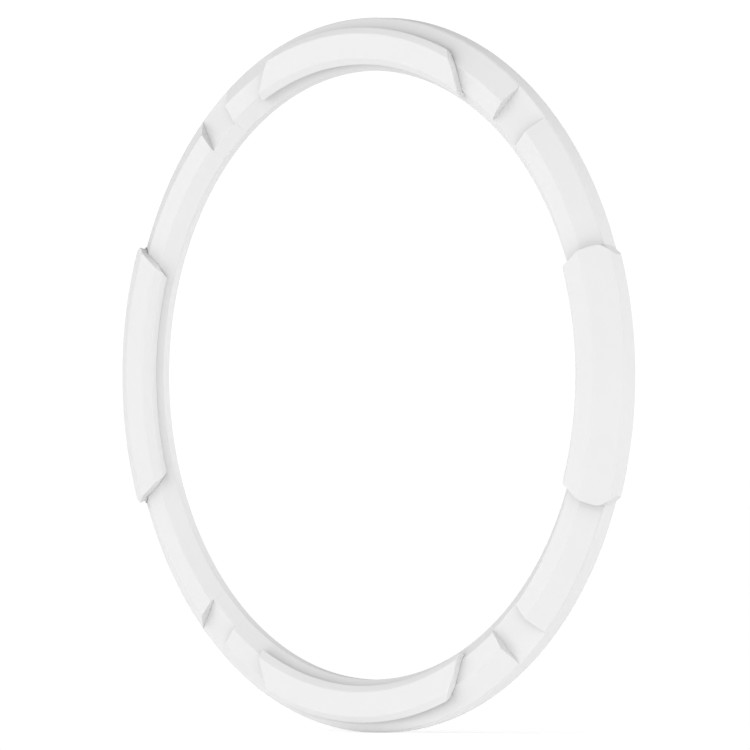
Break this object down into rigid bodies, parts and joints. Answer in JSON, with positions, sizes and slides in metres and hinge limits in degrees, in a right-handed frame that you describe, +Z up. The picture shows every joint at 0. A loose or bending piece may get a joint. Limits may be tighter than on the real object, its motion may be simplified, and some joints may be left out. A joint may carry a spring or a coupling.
{
  "type": "rhythmic hoop",
  "caption": "Round gymnastics hoop with a bevelled hollow section, two wrap-over side grips, raised front plates and four take-apart joints with spring release buttons.",
  "frame": {"origin": "centre of the bounding box, which is on the hoop's axis halfway between the front of the front plates and the flat back", "axes": "+Z up as the hoop is held, +Y along the hoop's axis towards its flat back so the raised pads face -Y, +X to the right-hand grip"},
  "size_m": [0.7166, 0.0372, 0.6996],
  "materials": {
    "shell": "satin white moulded plastic",
    "plate": "matte white moulded plastic",
    "grip": "soft-touch white rubber",
    "coupler": "plain light grey nylon, hidden inside",
    "button": "smooth light grey plastic",
    "steel": "zinc-plated steel"
  },
  "bodies": {
    "hoop_frame": {"front_cover_right": "shell", "rear_channel_right": "shell", "grip_right": "grip", "cover_screw_right_1": "steel", "cover_screw_right_2": "steel", "cover_screw_right_3": "steel", "front_cover_left": "shell", "rear_channel_left": "shell", "grip_left": "grip", "cover_screw_left_1": "steel", "cover_screw_left_2": "steel", "cover_screw_left_3": "steel", "front_cover_top": "shell", "rear_channel_top": "shell", "front_plate_top": "plate", "cover_screw_top_1": "steel", "cover_screw_top_2": "steel", "cover_screw_top_3": "steel", "front_cover_bottom": "shell", "rear_channel_bottom": "shell", "front_plate_bottom": "plate", "cover_screw_bottom_1": "steel", "cover_screw_bottom_2": "steel", "cover_screw_bottom_3": "steel", "joint_collar_upper_right": "shell", "coupler_upper_right": "coupler", "button_spring_upper_right": "steel", "collar_screw_upper_right": "steel", "coupler_screw_upper_right": "steel", "joint_collar_upper_left": "shell", "coupler_upper_left": "coupler", "button_spring_upper_left": "steel", "collar_screw_upper_left": "steel", "coupler_screw_upper_left": "steel", "joint_collar_lower_left": "shell", "coupler_lower_left": "coupler", "button_spring_lower_left": "steel", "collar_screw_lower_left": "steel", "coupler_screw_lower_left": "steel", "joint_collar_lower_right": "shell", "coupler_lower_right": "coupler", "button_spring_lower_right": "steel", "collar_screw_lower_right": "steel", "coupler_screw_lower_right": "steel"},
    "button_upper_right": {"release_button_upper_right": "button"},
    "button_upper_left": {"release_button_upper_left": "button"},
    "button_lower_left": {"release_button_lower_left": "button"},
    "button_lower_right": {"release_button_lower_right": "button"}
  },
  "joints": [
    {"name": "button_press_upper_right", "type": "slide", "parent": "hoop_frame", "child": "button_upper_right", "axis": [0, 1, 0], "range_m": [-0.003, 0], "stiffness_N_per_m": 300, "springref_m": 0.003, "deforming": ["button_spring_upper_right"]},
    {"name": "button_press_upper_left", "type": "slide", "parent": "hoop_frame", "child": "button_upper_left", "axis": [0, 1, 0], "range_m": [-0.003, 0], "stiffness_N_per_m": 300, "springref_m": 0.003, "deforming": ["button_spring_upper_left"]},
    {"name": "button_press_lower_left", "type": "slide", "parent": "hoop_frame", "child": "button_lower_left", "axis": [0, 1, 0], "range_m": [-0.003, 0], "stiffness_N_per_m": 300, "springref_m": 0.003, "deforming": ["button_spring_lower_left"]},
    {"name": "button_press_lower_right", "type": "slide", "parent": "hoop_frame", "child": "button_lower_right", "axis": [0, 1, 0], "range_m": [-0.003, 0], "stiffness_N_per_m": 300, "springref_m": 0.003, "deforming": ["button_spring_lower_right"]}
  ]
}
